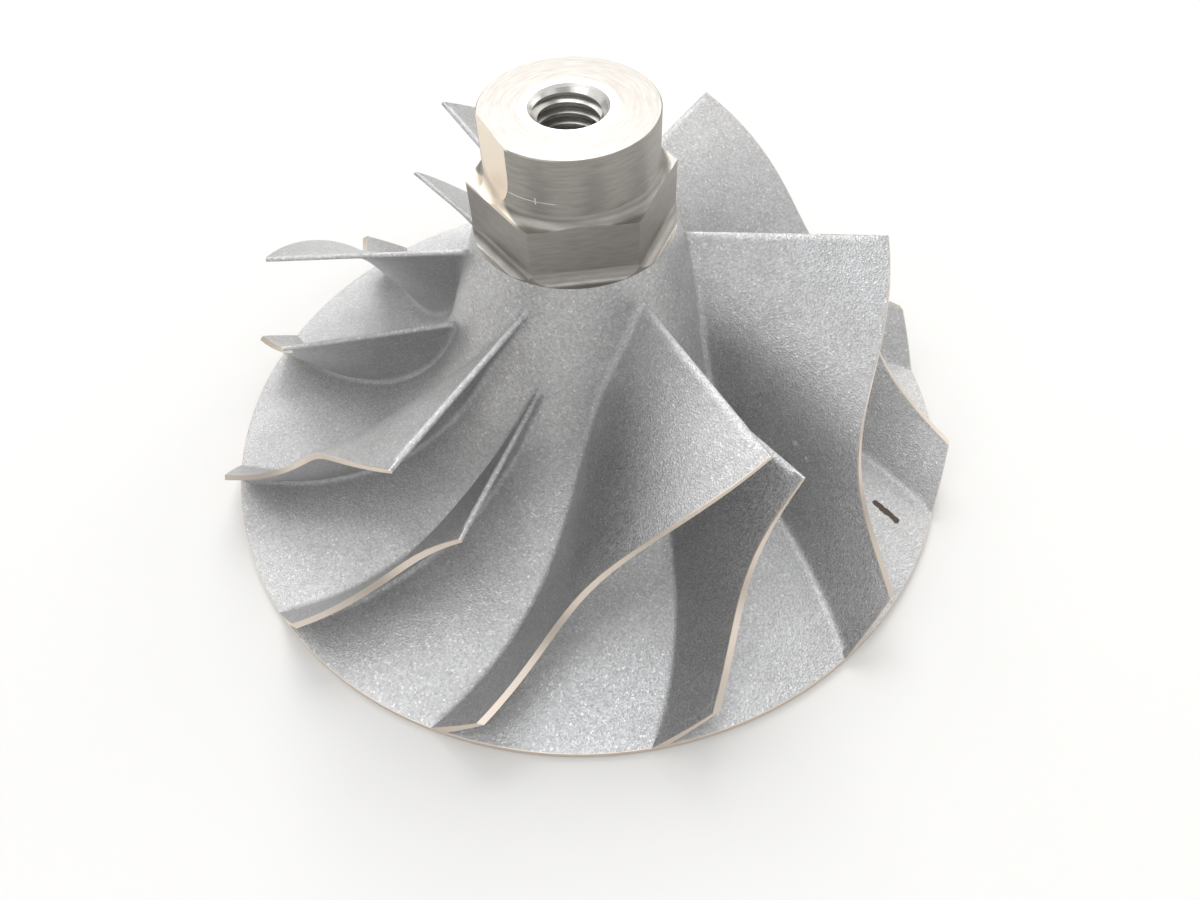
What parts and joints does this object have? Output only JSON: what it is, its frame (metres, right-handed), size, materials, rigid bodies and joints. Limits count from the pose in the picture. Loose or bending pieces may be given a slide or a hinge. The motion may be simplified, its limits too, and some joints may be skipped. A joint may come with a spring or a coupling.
{
  "type": "compressor wheel",
  "caption": "Cast and turned aluminium compressor wheel with full and splitter blades, a hexagon nose and a threaded bore.",
  "frame": {"origin": "centre of the flat back face, on the axis of rotation", "axes": "+Z along the axis of rotation towards the nose; one flat of the hexagon faces -Y"},
  "size_m": [0.098, 0.098, 0.0503],
  "materials": {
    "cast_aluminium": "satin"
  },
  "bodies": {
    "root": {"compressor_wheel": "cast_aluminium"}
  },
  "joints": []
}
